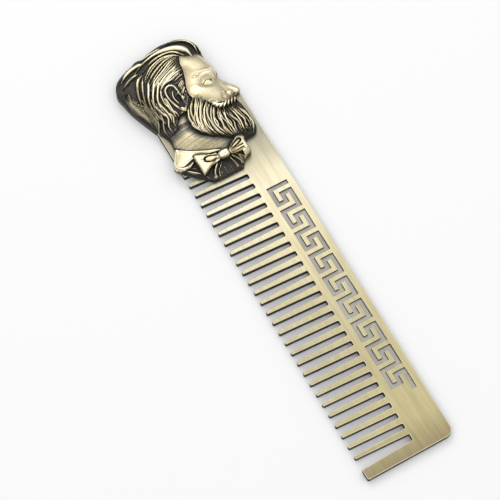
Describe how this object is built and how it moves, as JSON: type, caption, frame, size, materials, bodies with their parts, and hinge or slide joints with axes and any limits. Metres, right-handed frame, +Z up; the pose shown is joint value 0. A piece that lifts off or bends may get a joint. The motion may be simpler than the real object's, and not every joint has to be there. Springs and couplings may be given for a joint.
{
  "type": "beard comb",
  "caption": "Flat brass beard comb with one row of coarse tapered teeth, a recessed key-pattern band along its spine and a cast relief bust in profile at one end.",
  "frame": {"origin": "middle of the comb's length and width on its flat underside", "axes": "+X along the comb from the bust to the tail, +Y towards the spine (the teeth point to -Y), +Z up out of the show face"},
  "size_m": [0.1254, 0.0282, 0.006],
  "materials": {
    "blade_brass": "antiqued brass, brushed lengthwise, dark in the cut walls and in the recess",
    "cast_brass": "antiqued cast brass, polished on the high relief and dark grey in the hollows",
    "rivet_brass": "dull brass, filed flush"
  },
  "bodies": {
    "root": {"comb_plate": "blade_brass", "bust_casting": "cast_brass", "rivet_spine_side": "rivet_brass", "rivet_teeth_side": "rivet_brass"}
  },
  "joints": []
}
